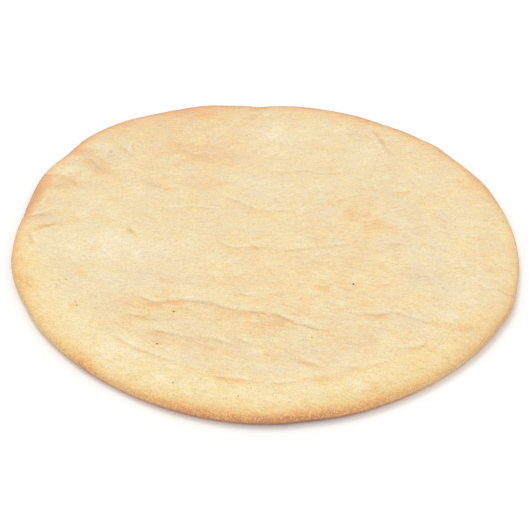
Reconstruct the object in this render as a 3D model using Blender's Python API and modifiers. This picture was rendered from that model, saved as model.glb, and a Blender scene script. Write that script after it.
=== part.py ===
"""A plain par-baked pizza crust: one flat round of dough, stretched by hand and baked pale.

Metres, +Z up.  The crust lies on its flat underside, on the plane z = 0, and its box is
centred on the Z axis.  Bearings are in degrees, anticlockwise from +X seen from above, so
the side called the front is at -Y.
"""

import math
from typing import NamedTuple

import bpy
import numpy as np
from mathutils import Vector, noise

# ---------------------------------------------------------------------------------------
# Driving dimensions
# ---------------------------------------------------------------------------------------
MEAN_RADIUS = 0.203  # a sixteen-inch round
MIDDLE_THICKNESS = 0.0086
RIM_THICKNESS = 0.0114  # at the rim's crest
RIM_CREST_INSET = 0.024  # from the edge in to the crest
RIM_FOOT_INSET = 0.056  # from the edge in to where the rim has sunk to the middle's level
EDGE_HEIGHT = 0.0046  # height of the outermost line of the rounded edge
EDGE_TUCK = 0.0042  # how far the edge tucks in below that line to the flat underside
SHOULDER_FULLNESS = 2.5  # power of the curve from the edge up to the crest; 2 is an ellipse
RELIEF_STARTS = 0.003  # inset at which folds and swellings begin to show on the shoulder
RELIEF_FULL = 0.016  # inset from which they have their whole height

# Slow lobes that put the edge out of round: lobes in the round, size, bearing of a crest.
OUTLINE_LOBES = (
    (2, 0.0047, -49.3),
    (3, 0.0024, 17.6),
    (4, 0.0013, 43.0),
    (5, 0.0019, -14.7),
    (6, 0.0007, 13.5),
    (7, 0.0003, 23.9),
)

# Short bulges and nicks in the edge: bearing, half-width in degrees, size.
EDGE_MARKS = (
    (21.0, 5.0, 0.0011),
    (40.0, 3.5, 0.0016),
    (57.0, 5.0, -0.0015),
    (80.0, 5.0, 0.0010),
    (91.0, 3.5, -0.0025),
    (105.0, 5.0, 0.0024),
    (119.0, 5.0, -0.0013),
    (145.0, 4.5, -0.0020),
    (156.0, 5.5, 0.0019),
    (172.0, 4.0, -0.0012),
    (190.0, 6.0, 0.0010),
    (205.0, 5.0, -0.0010),
    (279.0, 5.0, -0.0009),
    (335.0, 5.0, 0.0014),
)

# The rim's crest stands higher or lower in slow lobes, in the same form as the outline's.
RIM_LOBES = (
    (1, 0.0006, 250.0),
    (2, 0.0004, 290.0),
    (5, 0.0003, 200.0),
)


class Fold(NamedTuple):
    """A fold in the skin: a low ridge, with a hollow along the right of its path."""

    ridge: float
    hollow: float
    width: float
    path: tuple


# Folds across the front half, where the stretched skin has slipped towards the rim.
FRONT_FOLDS = (
    Fold(
        0.0005,
        0.0005,
        0.0055,
        ((-0.086, -0.070), (-0.066, -0.080), (-0.036, -0.086), (0.000, -0.095), (0.050, -0.118)),
    ),
    Fold(0.0003, 0.0005, 0.0050, ((-0.110, -0.080), (-0.096, -0.078), (-0.062, -0.083))),
    Fold(0.0003, 0.0003, 0.0055, ((-0.112, -0.095), (-0.094, -0.101), (-0.066, -0.104))),
    Fold(
        0.0004,
        0.0003,
        0.0060,
        ((-0.092, -0.117), (-0.068, -0.118), (-0.043, -0.123), (-0.016, -0.138)),
    ),
    Fold(0.0003, 0.0001, 0.0055, ((-0.074, -0.103), (-0.052, -0.112), (-0.026, -0.121))),
    Fold(
        0.0003,
        0.0003,
        0.0040,
        ((-0.118, -0.114), (-0.104, -0.126), (-0.084, -0.141), (-0.062, -0.155)),
    ),
    Fold(0.0003, 0.0003, 0.0060, ((-0.046, -0.162), (-0.027, -0.171), (-0.004, -0.178))),
    Fold(
        0.0003,
        0.0003,
        0.0060,
        ((0.002, -0.142), (0.020, -0.144), (0.041, -0.156), (0.066, -0.158), (0.094, -0.151)),
    ),
    Fold(
        0.0003,
        0.0004,
        0.0060,
        ((0.056, -0.095), (0.080, -0.096), (0.106, -0.103), (0.131, -0.118)),
    ),
    Fold(0.0003, 0.0003, 0.0065, ((0.116, -0.079), (0.133, -0.084), (0.153, -0.099))),
)

# Slack, shallower folds over the middle and the far half.
MIDDLE_FOLDS = (
    Fold(0.0002, 0.0003, 0.0065, ((0.135, -0.043), (0.159, -0.041), (0.183, -0.044))),
    Fold(0.0002, 0.0002, 0.0060, ((0.112, -0.052), (0.133, -0.059))),
    Fold(
        0.0003,
        0.0003,
        0.0055,
        ((-0.050, 0.003), (-0.030, -0.009), (0.012, -0.019), (0.042, -0.018), (0.072, -0.011)),
    ),
    Fold(0.0001, 0.0003, 0.0060, ((0.088, -0.019), (0.106, -0.014), (0.123, -0.006))),
    Fold(
        0.0003,
        0.0002,
        0.0045,
        ((-0.038, 0.055), (-0.018, 0.047), (0.000, 0.034), (0.034, 0.032)),
    ),
    Fold(0.0003, 0.0003, 0.0070, ((-0.016, 0.093), (0.030, 0.093), (0.074, 0.098))),
    Fold(0.0003, 0.0002, 0.0045, ((-0.098, 0.144), (-0.084, 0.141), (-0.068, 0.137))),
)

# Sharp folds that run in from the edge, where the round was picked up and pinched.
PINCH_FOLDS = (
    Fold(0.0008, 0.0009, 0.0030, ((0.090, 0.164), (0.097, 0.140), (0.107, 0.124), (0.108, 0.105))),
    Fold(0.0005, 0.0004, 0.0035, ((-0.137, 0.132), (-0.125, 0.124), (-0.113, 0.112))),
    Fold(0.0006, 0.0005, 0.0035, ((-0.115, 0.115), (-0.114, 0.126), (-0.109, 0.135))),
    Fold(0.0006, 0.0009, 0.0065, ((-0.159, 0.121), (-0.146, 0.109), (-0.133, 0.091))),
    Fold(0.0006, 0.0009, 0.0060, ((-0.191, 0.087), (-0.172, 0.078), (-0.157, 0.064))),
    Fold(0.0006, 0.0009, 0.0050, ((-0.198, 0.024), (-0.183, 0.023), (-0.163, 0.024))),
    Fold(0.0005, 0.0006, 0.0050, ((-0.186, -0.004), (-0.176, 0.006), (-0.163, 0.012))),
)

FOLDS = FRONT_FOLDS + MIDDLE_FOLDS + PINCH_FOLDS
FOLD_TAPER = 0.018  # length over which a fold rises from nothing at each end


class Swelling(NamedTuple):
    """A soft oval rise, or a hollow where the height is below zero."""

    middle: tuple
    half_length: float
    half_width: float
    bearing: float
    height: float


SWELLINGS = (
    # Puffed lobes between the pinches at the left of the rim.
    Swelling((-0.149, 0.121), 0.022, 0.013, 130.0, 0.0011),
    Swelling((-0.163, 0.087), 0.026, 0.013, 120.0, 0.0013),
    Swelling((-0.181, 0.047), 0.024, 0.010, 97.0, 0.0010),
    Swelling((-0.187, 0.003), 0.016, 0.010, 90.0, 0.0007),
    # Blisters under the skin below the front folds.
    Swelling((-0.083, -0.092), 0.028, 0.008, -8.0, 0.0007),
    Swelling((0.004, -0.109), 0.046, 0.010, -14.0, 0.0005),
    Swelling((0.086, -0.105), 0.026, 0.009, -8.0, 0.0005),
    Swelling((-0.044, -0.150), 0.050, 0.012, -18.0, 0.0006),
    # Shallow dips where the hand pressed the middle thin.
    Swelling((-0.110, -0.023), 0.060, 0.034, 10.0, -0.0007),
    Swelling((0.060, 0.027), 0.070, 0.030, 25.0, -0.0006),
    Swelling((0.139, -0.065), 0.040, 0.022, -20.0, -0.0006),
    Swelling((-0.060, 0.117), 0.050, 0.022, -15.0, -0.0005),
)

# Uneven thickness of the hand-stretched sheet: height of the waves, and their size along
# X and Y.  The dough was drawn out sideways, so the waves are longer along X.
STRETCH_WAVES = (
    (0.0011, 0.110, 0.060),
    (0.0005, 0.050, 0.018),
)

# Mesh density of the turned round, and the share of its faces that the finished solid keeps.
TURN_STEPS = 300
TOP_RING_GAP = 0.0031
SHOULDER_RINGS = 9
TUCK_RINGS = 5
KEPT_SHARE = 0.20

CRUST_COLOUR = (0.86, 0.70, 0.43, 1.0)
CRUST_ROUGHNESS = 0.78


# ---------------------------------------------------------------------------------------
# The form of the crust, as functions of place
# ---------------------------------------------------------------------------------------
def smooth_step(value):
    """0 to 1 with level ends, as the value goes from 0 to 1."""
    value = np.clip(value, 0.0, 1.0)
    return value * value * (3.0 - 2.0 * value)


def lobed(lobes, bearings):
    """The sum of slow lobes at each bearing."""
    return sum(size * np.cos(np.radians(count * (bearings - crest))) for count, size, crest in lobes)


def edge_radius(bearings):
    """Distance from the round's middle to its edge at each bearing."""
    radius = MEAN_RADIUS + lobed(OUTLINE_LOBES, bearings)
    for bearing, half_width, size in EDGE_MARKS:
        turn = (bearings - bearing + 180.0) % 360.0 - 180.0
        radius = radius + size * np.exp(-((turn / half_width) ** 2))
    return radius


def box_middle():
    """The middle of the edge's box, which goes on the Z axis."""
    bearings = np.arange(0.0, 360.0, 0.1)
    radius = edge_radius(bearings)
    x = radius * np.cos(np.radians(bearings))
    y = radius * np.sin(np.radians(bearings))
    return (x.min() + x.max()) / 2.0, (y.min() + y.max()) / 2.0


def smooth_path(points, steps=6):
    """A smooth curve through all the points, as close-set points."""
    knots = np.array([points[0], *points, points[-1]])
    curve = []
    for a, b, c, d in zip(knots, knots[1:], knots[2:], knots[3:]):
        for t in np.arange(steps) / steps:
            bend = (2.0 * a - 5.0 * b + 4.0 * c - d) * t**2 + (3.0 * (b - c) + d - a) * t**3
            curve.append(b + 0.5 * ((c - a) * t + bend))
    curve.append(knots[-1])
    return np.array(curve)


def beside_path(x, y, path):
    """How far each place lies left of the path, and its distance from the path's nearer end."""
    curve = smooth_path(path)
    lengths = np.hypot(*np.diff(curve, axis=0).T)
    starts = np.concatenate([[0.0], np.cumsum(lengths)])
    nearest = np.full(x.shape, np.inf)
    left = np.zeros(x.shape)
    along = np.zeros(x.shape)
    for (ax, ay), (bx, by), start, length in zip(curve, curve[1:], starts, lengths):
        run = ((bx - ax) / length, (by - ay) / length)
        share = np.clip((x - ax) * run[0] + (y - ay) * run[1], 0.0, length)
        away = np.hypot(x - ax - share * run[0], y - ay - share * run[1])
        side = np.sign((y - ay) * run[0] - (x - ax) * run[1])
        closer = away < nearest
        nearest = np.where(closer, away, nearest)
        left = np.where(closer, away * side, left)
        along = np.where(closer, start + share, along)
    return left, np.minimum(along, starts[-1] - along)


def fold_height(x, y, fold):
    """The fold's ridge and hollow, faded out towards its two ends."""
    left, from_end = beside_path(x, y, fold.path)
    ridge = fold.ridge * np.exp(-(((left - 0.5 * fold.width) / (0.7 * fold.width)) ** 2))
    hollow = fold.hollow * np.exp(-(((left + 0.6 * fold.width) / (0.8 * fold.width)) ** 2))
    return (ridge - hollow) * smooth_step(from_end / FOLD_TAPER)


def swelling_height(x, y, swelling):
    """A soft oval rise or hollow."""
    turn = math.radians(swelling.bearing)
    east = x - swelling.middle[0]
    north = y - swelling.middle[1]
    along = (east * math.cos(turn) + north * math.sin(turn)) / swelling.half_length
    across = (north * math.cos(turn) - east * math.sin(turn)) / swelling.half_width
    return swelling.height * np.exp(-(along**2) - across**2)


def stretch_height(x, y):
    """Slow waves of uneven thickness left by stretching the dough."""
    height = np.zeros(x.shape)
    for layer, (size, along_x, along_y) in enumerate(STRETCH_WAVES):
        places = zip(x / along_x, y / along_y)
        height += size * np.array([noise.noise(Vector((u, v, 3.7 * layer))) for u, v in places])
    return height


def relief(x, y):
    """Everything that lifts or sinks the top from its turned shape."""
    height = stretch_height(x, y)
    for fold in FOLDS:
        height += fold_height(x, y, fold)
    for swelling in SWELLINGS:
        height += swelling_height(x, y, swelling)
    return height


# ---------------------------------------------------------------------------------------
# The turned round
# ---------------------------------------------------------------------------------------
def rim_share(inset):
    """1 at the rim's crest, falling to 0 at its foot on the inner side and at the edge."""
    inner = smooth_step((RIM_FOOT_INSET - inset) / (RIM_FOOT_INSET - RIM_CREST_INSET))
    return np.where(inset > RIM_CREST_INSET, inner, smooth_step(inset / RIM_CREST_INSET))


def crust_section():
    """Half of the section: out over the top, down the rounded edge and in underneath."""
    top = []
    rings = int((MEAN_RADIUS - RIM_CREST_INSET) / TOP_RING_GAP)
    for ring in range(rings):
        radius = (MEAN_RADIUS - RIM_CREST_INSET) * ring / rings
        rise = float(rim_share(MEAN_RADIUS - radius))
        top.append((radius, MIDDLE_THICKNESS + (RIM_THICKNESS - MIDDLE_THICKNESS) * rise))
    power = 2.0 / SHOULDER_FULLNESS
    shoulder = []
    for ring in range(SHOULDER_RINGS + 1):
        turn = 0.5 * math.pi * ring / SHOULDER_RINGS
        out = RIM_CREST_INSET * math.sin(turn) ** power
        up = (RIM_THICKNESS - EDGE_HEIGHT) * max(math.cos(turn), 0.0) ** power
        shoulder.append((MEAN_RADIUS - RIM_CREST_INSET + out, EDGE_HEIGHT + up))
    tuck = []
    for ring in range(1, TUCK_RINGS + 1):
        turn = 0.5 * math.pi * ring / TUCK_RINGS
        inset = EDGE_TUCK * (1.0 - math.cos(turn))
        tuck.append((MEAN_RADIUS - inset, EDGE_HEIGHT * (1.0 - math.sin(turn))))
    foot = MEAN_RADIUS - EDGE_TUCK
    underside = [(foot * share, 0.0) for share in (0.75, 0.5, 0.25, 0.0)]
    return top + shoulder + tuck + underside


def turned_round():
    """The crust as a true round, turned from its section."""
    section = crust_section()
    mesh = bpy.data.meshes.new("crust section")
    points = [(radius, 0.0, height) for radius, height in section]
    mesh.from_pydata(points, [(i, i + 1) for i in range(len(points) - 1)], [])
    blank = bpy.data.objects.new("crust section", mesh)
    bpy.context.scene.collection.objects.link(blank)
    screw = blank.modifiers.new("turn", "SCREW")
    screw.axis = "Z"
    screw.steps = TURN_STEPS
    screw.render_steps = TURN_STEPS
    screw.use_merge_vertices = True
    screw.merge_threshold = 0.0001
    evaluated = blank.evaluated_get(bpy.context.evaluated_depsgraph_get())
    turned = bpy.data.meshes.new_from_object(evaluated)
    bpy.data.objects.remove(blank)
    bpy.data.meshes.remove(mesh)
    return turned


def work_by_hand(mesh):
    """Pull the true round out into the hand-stretched shape, and raise its relief."""
    places = np.array([vertex.co for vertex in mesh.vertices])
    turned_radius = np.hypot(places[:, 0], places[:, 1])
    bearings = np.degrees(np.arctan2(places[:, 1], places[:, 0]))
    pull = (edge_radius(bearings) - MEAN_RADIUS) * (turned_radius / MEAN_RADIUS) ** 2
    x = (turned_radius + pull) * np.cos(np.radians(bearings))
    y = (turned_radius + pull) * np.sin(np.radians(bearings))

    inset = MEAN_RADIUS - turned_radius
    on_top = places[:, 2] > EDGE_HEIGHT
    shown = smooth_step((inset - RELIEF_STARTS) / (RELIEF_FULL - RELIEF_STARTS))
    lift = relief(x, y) * shown + lobed(RIM_LOBES, bearings) * rim_share(inset)
    z = places[:, 2] + np.where(on_top, lift, 0.0)

    middle_x, middle_y = box_middle()
    worked = np.stack([x - middle_x, y - middle_y, z], axis=1)
    mesh.vertices.foreach_set("co", worked.astype(np.float32).ravel())
    mesh.update()


# ---------------------------------------------------------------------------------------
# The object
# ---------------------------------------------------------------------------------------
def crust_material():
    material = bpy.data.materials.new("baked dough")
    material.use_nodes = True
    shader = material.node_tree.nodes["Principled BSDF"]
    shader.inputs["Base Color"].default_value = CRUST_COLOUR
    shader.inputs["Roughness"].default_value = CRUST_ROUGHNESS
    shader.inputs["Metallic"].default_value = 0.0
    material.diffuse_color = CRUST_COLOUR
    return material


def make_crust(collection):
    mesh = turned_round()
    mesh.name = "crust"
    work_by_hand(mesh)
    mesh.materials.append(crust_material())
    mesh.shade_smooth()
    crust = bpy.data.objects.new("crust", mesh)
    collection.objects.link(crust)
    thin = crust.modifiers.new("fewer faces", "DECIMATE")
    thin.decimate_type = "COLLAPSE"
    thin.ratio = KEPT_SHARE
    thin.use_collapse_triangulate = True
    return crust


def main():
    for old in list(bpy.data.objects):
        bpy.data.objects.remove(old, do_unlink=True)
    collection = bpy.data.collections.new("pizza crust")
    bpy.context.scene.collection.children.link(collection)
    make_crust(collection)


main()
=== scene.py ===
"""The looks of a plain par-baked pizza crust: its fine skin, its browning and a pale studio.

Metres, +Z up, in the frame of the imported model.  Bearings are in degrees, anticlockwise from
+X seen from above, so the side called the front is at -Y.
"""

import math

import bmesh
import bpy
import numpy as np
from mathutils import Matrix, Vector, noise


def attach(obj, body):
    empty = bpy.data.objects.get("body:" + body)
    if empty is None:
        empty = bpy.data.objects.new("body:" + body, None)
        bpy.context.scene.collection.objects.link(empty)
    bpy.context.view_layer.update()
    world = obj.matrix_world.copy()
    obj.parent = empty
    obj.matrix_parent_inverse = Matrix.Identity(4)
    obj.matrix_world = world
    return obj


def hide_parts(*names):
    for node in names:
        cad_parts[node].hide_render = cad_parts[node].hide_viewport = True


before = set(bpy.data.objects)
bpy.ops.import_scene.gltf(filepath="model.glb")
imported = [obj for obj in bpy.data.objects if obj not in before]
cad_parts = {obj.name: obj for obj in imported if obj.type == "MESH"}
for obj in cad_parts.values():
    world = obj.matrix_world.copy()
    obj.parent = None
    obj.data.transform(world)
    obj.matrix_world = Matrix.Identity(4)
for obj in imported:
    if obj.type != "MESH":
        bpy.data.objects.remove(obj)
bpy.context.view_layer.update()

# ------ Driving dimensions of the crust, as in the solid ------
MM = 0.001  # a millimetre; the tables of folds, creases and patches are written in them
MEAN_RADIUS = 0.203  # a sixteen-inch round
MIDDLE_THICKNESS = 0.0086
RIM_THICKNESS = 0.0114  # at the rim's crest
RIM_CREST_INSET = 0.024  # from the edge in to the crest
RIM_FOOT_INSET = 0.056  # from the edge in to where the rim has sunk to the middle's level
EDGE_HEIGHT = 0.0046  # height of the outermost line of the rounded edge
EDGE_TUCK = 0.0042  # how far the edge tucks in below that line to the flat underside
SHOULDER_FULLNESS = 2.5  # power of the curve from the edge up to the crest; 2 is an ellipse
RELIEF_STARTS = 0.003  # inset at which folds and swellings begin to show on the shoulder
RELIEF_FULL = 0.016  # inset from which they have their whole height

# Slow lobes that put the edge out of round: lobes in the round, size, bearing of a crest.
OUTLINE_LOBES = (
    (2, 0.0047, -49.3),
    (3, 0.0024, 17.6),
    (4, 0.0013, 43.0),
    (5, 0.0019, -14.7),
    (6, 0.0007, 13.5),
    (7, 0.0003, 23.9),
)

# Short bulges and nicks in the edge: bearing, half-width in degrees, size.
EDGE_MARKS = (
    (21.0, 5.0, 0.0011),
    (40.0, 3.5, 0.0016),
    (57.0, 5.0, -0.0015),
    (80.0, 5.0, 0.0010),
    (91.0, 3.5, -0.0025),
    (105.0, 5.0, 0.0024),
    (119.0, 5.0, -0.0013),
    (145.0, 4.5, -0.0020),
    (156.0, 5.5, 0.0019),
    (172.0, 4.0, -0.0012),
    (190.0, 6.0, 0.0010),
    (205.0, 5.0, -0.0010),
    (279.0, 5.0, -0.0009),
    (335.0, 5.0, 0.0014),
)

# The rim's crest stands higher or lower in slow lobes, in the same form as the outline's.
RIM_LOBES = (
    (1, 0.0006, 250.0),
    (2, 0.0004, 290.0),
    (5, 0.0003, 200.0),
)

# A fold is a low ridge in the skin with a hollow along the right of its path.  Each row holds
# the ridge's height, the hollow's depth, their width and the path, all in millimetres.

# Folds across the front half, where the stretched skin has slipped towards the rim.
FRONT_FOLDS = (
    (0.5, 0.5, 5.5, (-86, -70), (-66, -80), (-36, -86), (0, -95), (50, -118)),
    (0.3, 0.5, 5, (-110, -80), (-96, -78), (-62, -83)),
    (0.3, 0.3, 5.5, (-112, -95), (-94, -101), (-66, -104)),
    (0.4, 0.3, 6, (-92, -117), (-68, -118), (-43, -123), (-16, -138)),
    (0.3, 0.1, 5.5, (-74, -103), (-52, -112), (-26, -121)),
    (0.3, 0.3, 4, (-118, -114), (-104, -126), (-84, -141), (-62, -155)),
    (0.3, 0.3, 6, (-46, -162), (-27, -171), (-4, -178)),
    (0.3, 0.3, 6, (2, -142), (20, -144), (41, -156), (66, -158), (94, -151)),
    (0.3, 0.4, 6, (56, -95), (80, -96), (106, -103), (131, -118)),
    (0.3, 0.3, 6.5, (116, -79), (133, -84), (153, -99)),
)

# Slack, shallower folds over the middle and the far half.
MIDDLE_FOLDS = (
    (0.2, 0.3, 6.5, (135, -43), (159, -41), (183, -44)),
    (0.2, 0.2, 6, (112, -52), (133, -59)),
    (0.3, 0.3, 5.5, (-50, 3), (-30, -9), (12, -19), (42, -18), (72, -11)),
    (0.1, 0.3, 6, (88, -19), (106, -14), (123, -6)),
    (0.3, 0.2, 4.5, (-38, 55), (-18, 47), (0, 34), (34, 32)),
    (0.3, 0.3, 7, (-16, 93), (30, 93), (74, 98)),
    (0.3, 0.2, 4.5, (-98, 144), (-84, 141), (-68, 137)),
)

# Sharp folds that run in from the edge, where the round was picked up and pinched.
PINCH_FOLDS = (
    (0.8, 0.9, 3, (90, 164), (97, 140), (107, 124), (108, 105)),
    (0.5, 0.4, 3.5, (-137, 132), (-125, 124), (-113, 112)),
    (0.6, 0.5, 3.5, (-115, 115), (-114, 126), (-109, 135)),
    (0.6, 0.9, 6.5, (-159, 121), (-146, 109), (-133, 91)),
    (0.6, 0.9, 6, (-191, 87), (-172, 78), (-157, 64)),
    (0.6, 0.9, 5, (-198, 24), (-183, 23), (-163, 24)),
    (0.5, 0.6, 5, (-186, -4), (-176, 6), (-163, 12)),
)

FOLD_TAPER = 0.018  # length over which a fold rises from nothing at each end
FOLD_MARGIN = 4.0  # how far to its sides a fold is told, in widths
RIDGE_FORM = (0.5, 0.7)  # where the ridge stands left of the path, and its spread, in widths
HOLLOW_FORM = (-0.6, 0.8)  # and the hollow

# Soft oval rises, and hollows where the height is below zero: X and Y of the middle, the
# half-length and half-width, the bearing of the length, and the height, in millimetres.
SWELLINGS = (
    # Puffed lobes between the pinches at the left of the rim.
    (-149, 121, 22, 13, 130, 1.1),
    (-163, 87, 26, 13, 120, 1.3),
    (-181, 47, 24, 10, 97, 1),
    (-187, 3, 16, 10, 90, 0.7),
    # Blisters under the skin below the front folds.
    (-83, -92, 28, 8, -8, 0.7),
    (4, -109, 46, 10, -14, 0.5),
    (86, -105, 26, 9, -8, 0.5),
    (-44, -150, 50, 12, -18, 0.6),
    # Shallow dips where the hand pressed the middle thin.
    (-110, -23, 60, 34, 10, -0.7),
    (60, 27, 70, 30, 25, -0.6),
    (139, -65, 40, 22, -20, -0.6),
    (-60, 117, 50, 22, -15, -0.5),
)

# Uneven thickness of the hand-stretched sheet: height of the waves, and their size along
# X and Y.  The dough was drawn out sideways, so the waves are longer along X.
STRETCH_WAVES = (
    (0.0011, 0.110, 0.060),
    (0.0005, 0.050, 0.018),
)
WAVE_STEP = 3.7  # how far apart on the noise's third axis the waves are taken

# ------ Creases: the thin lines where the skin turns over at a fold ------
CREASE_REACH = 0.009  # how far to the side of its line a crease is told
CREASE_TAPER = 0.012  # length over which a crease fades in at each end
SHORT_TAPER = 0.4  # the most of a short crease's length that this may be
THIN_CREASE = 0.55  # how wide the faintest creases are, for a full one's width
LIP_HEIGHT = 0.00024  # how far a full crease's lip stands above, and its foot below, the skin
LIP_WIDTH = 0.0032  # over which the lip and foot fade to the sides of the line
LIP_TURN = 0.0014  # over which the skin steps up from the foot to the lip
CREASE_WAVER = 0.0008  # how far a crease strays to the sides of its path
CREASE_BEND = 0.0110  # length of the bends in which it strays
CREASE_BREAKS = 0.013  # length of the stretches in which a crease shows or fades
CREASE_FAINTEST = 0.45  # how much of a crease still shows where it fades
CREASE_WHOLE = (0.72, 1.3)  # how whole it is on the mean, and how much the breaks change that

# A crease's lip is on the left of its path.  Each row holds its strength, from 0 to 1, and the
# path in millimetres.
CREASES = (
    # Along the folds of the front.
    (1, (-98.5, -76.5), (-88, -80.5), (-79.5, -85), (-62, -82), (-39, -86.5), (-17, -94.5),
     (7, -97.5), (26, -108.5), (49, -117)),
    (0.6, (-107, -95), (-92, -101), (-81, -103.5), (-70, -104)),
    (0.4, (-52, -103), (-43, -104), (-34, -103.5)),
    (0.7, (-88, -118.5), (-77, -117.5), (-64, -121.5), (-50, -125.5), (-38, -126), (-27, -130.5),
     (-17, -136)),
    (0.7, (-21.5, -121.5), (-12.5, -129), (1.5, -134)),
    (0.7, (-113, -122), (-103, -128.5), (-93.5, -136), (-85.5, -141.5), (-75, -147),
     (-65, -152.5)),
    (0.6, (-33, -73.5), (-19, -75.5), (-6, -77.5), (3, -80.5)),
    (0.7, (62, -96), (73, -98), (86, -99), (99, -98), (111.5, -104), (129, -112.5)),
    (0.9, (100, -138.5), (111, -137), (120, -131.5)),
    (0.8, (18, -144.5), (28.5, -149), (39, -155.5), (46, -157.5)),
    (0.6, (52, -157.5), (66, -158.5), (81, -156), (93, -149.5)),
    (0.4, (-42, -158), (-31.5, -163.5), (-21, -165)),
    (0.7, (-37, -168.5), (-26, -169.5), (-12, -172.5), (-4, -175.5)),
    (0.7, (-1, -176), (14, -175.7), (28, -173.5)),
    (0.5, (88, -66.5), (99, -62)),
    (0.5, (41, -68), (48, -65.5), (56, -62.5)),
    (0.5, (97, -73.5), (108, -72)),
    (0.7, (113, -54), (124, -53), (133.5, -57.5)),
    (0.5, (119, -77.5), (128, -80), (135, -84)),
    (0.6, (140, -45.5), (149.5, -43), (168, -46.5)),
    (0.4, (163, -71.5), (178, -72)),
    (0.6, (133, -146), (134, -153)),
    # Over the middle and the far half.
    (1, (109.5, 108), (109, 115.5), (105.5, 126), (100.5, 139), (96, 151)),
    (0.55, (-42, -5), (-30, -12.5), (-24, -15.5), (-8, -17), (14, -20), (26, -20), (40, -18),
     (56, -15.5), (73, -13.5)),
    (0.7, (92, -16), (104, -13.5), (117, -12.5)),
    (0.6, (-38, 53), (-20.5, 45), (-10, 37.5), (-1, 32), (31, 31.5)),
    (0.5, (-90, 32.5), (-76, 34), (-60, 37.5), (-47, 36), (-32, 32)),
    (0.7, (6, 89), (21, 86.5), (38.5, 89), (52, 84.5), (76.5, 87.5)),
    (0.4, (43, 103), (63, 105.5)),
    (0.5, (60, 47), (70, 49), (81, 55)),
    (0.5, (-78, 130), (-62, 116), (-48, 110), (-40, 103)),
    (0.4, (-118, 154), (-106, 149), (-93, 143)),
    (0.5, (-100, 74.5), (-90, 68), (-79, 61)),
    (0.4, (101, 58), (114, 58.5), (129, 60.5)),
    (0.7, (-109.5, 11.5), (-106, 5), (-100.5, -1.5)),
    # Among the pinches at the left.
    (0.6, (-134, 131.5), (-127, 126), (-119, 118), (-111, 110.5)),
    (0.5, (-113, 117), (-115.5, 123.5), (-115, 131)),
    (0.8, (-138, 110), (-134, 114), (-129, 118.5)),
    (0.7, (-134.5, 107), (-130, 113)),
    (0.8, (-156, 109.5), (-147, 101), (-140, 92), (-134, 86)),
    (0.6, (-189, 87), (-184, 83), (-176, 80)),
    (0.7, (-174, 79), (-164, 73), (-152, 65)),
    (0.7, (-178, 61), (-171, 66), (-164, 71.5)),
    (0.6, (-182, 69), (-177, 64), (-173, 59)),
    (0.6, (-190, 60), (-194, 50), (-196.5, 38)),
    (0.5, (-179, 52), (-184, 42), (-187, 34)),
    (1, (-196, 21.5), (-188, 21.5), (-180, 22), (-169, 21.5)),
    (0.9, (-164, 11), (-175, 5.5), (-184, 1.5)),
    (0.7, (-186, 1), (-184, -8), (-179, -19)),
)

# ------ Colour of the bake, by place ------
# Tones of baked dough, by share of baking from hardly set to brown, as screen colours.
TONES = (
    (0.00, (252, 241, 213)),
    (0.20, (251, 235, 194)),
    (0.40, (249, 226, 172)),
    (0.55, (247, 215, 154)),
    (0.68, (245, 201, 138)),
    (0.80, (242, 181, 121)),
    (0.90, (225, 156, 105)),
    (1.00, (182, 118, 77)),
)
FLOUR_TONE = (235, 217, 189)  # a dry film of flour over the skin
SHADE_AND_DULL_TONE = (198, 160, 120)  # painted shade in creases, pores and hollows; the edge's dull back
SINGED_AND_SHADE_TONE = (125, 105, 92)  # singed outermost line, and painted shade at the wall's foot
PLAIN_TONE = (241, 220, 176)  # of the whole crust, for a plain view without its finish
TOASTED_FLECK = (176, 108, 68)
CHARRED_FLECK = (44, 30, 22)
PLAIN_BAKE = 0.43  # the share of baking of the plain skin
PLAIN_FLOUR = 0.38  # the share of the plain skin's colour that its flour hides
TOASTED_FLOUR = -0.20  # how much of that flour goes as a patch is toasted
TOP_DARKEST = 0.71  # the most that any of the top is baked, away from the edge
BARE_RIM_BAKE = -0.13  # how much less the bare front of the rim is baked
PATCH_CONTRAST = 1.12  # how strongly the patches' baking shows
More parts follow.
